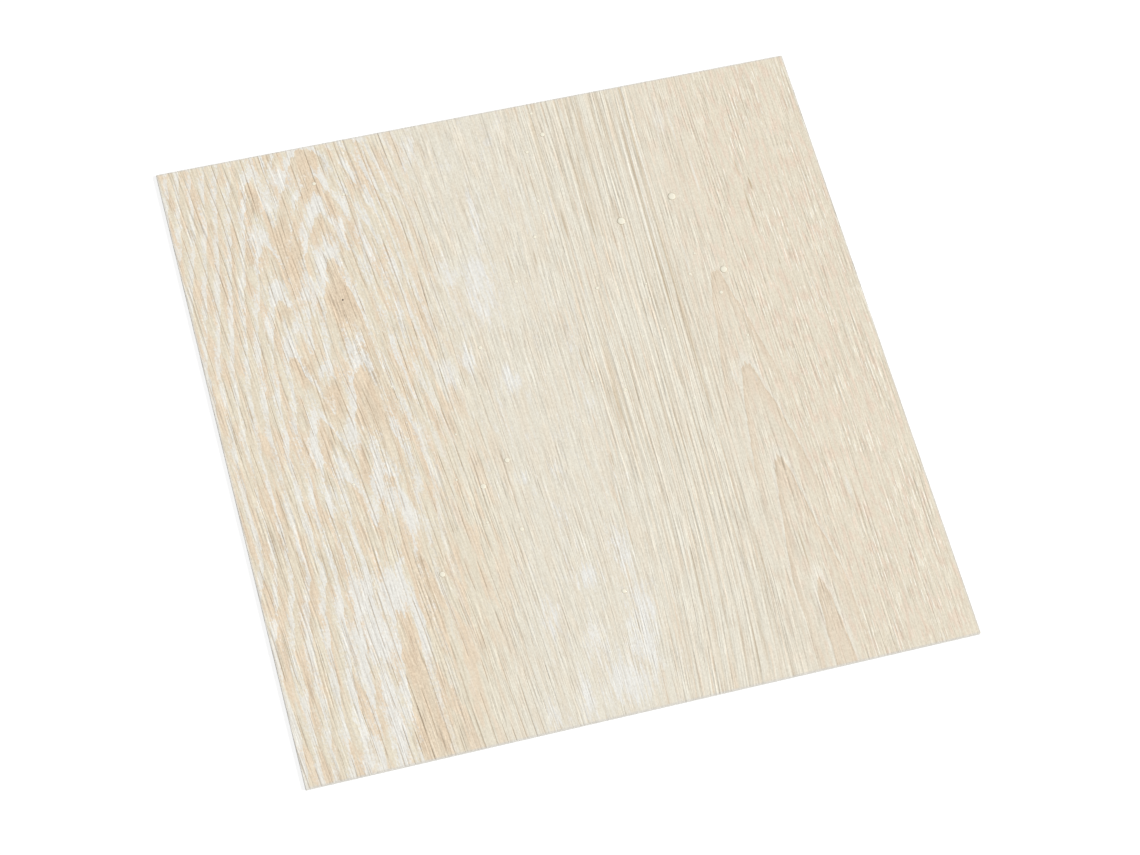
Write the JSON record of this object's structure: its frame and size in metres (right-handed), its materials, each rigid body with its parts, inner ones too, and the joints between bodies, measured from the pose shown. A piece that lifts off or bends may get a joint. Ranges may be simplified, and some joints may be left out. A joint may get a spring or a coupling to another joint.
{
  "type": "vinyl floor tile",
  "caption": "Square vinyl floor tile with square-cut butting edges, a flat back to glue down and an embossed limed-oak wear face.",
  "frame": {"origin": "middle of the back, on the sub-floor", "axes": "+Z out of the printed wear face, +Y along the printed grain, +X across it"},
  "size_m": [0.3048, 0.3048, 0.0015],
  "materials": {
    "printed_vinyl": "satin embossed limed-oak print on filled PVC"
  },
  "bodies": {
    "root": {"vinyl_tile": "printed_vinyl"}
  },
  "joints": []
}
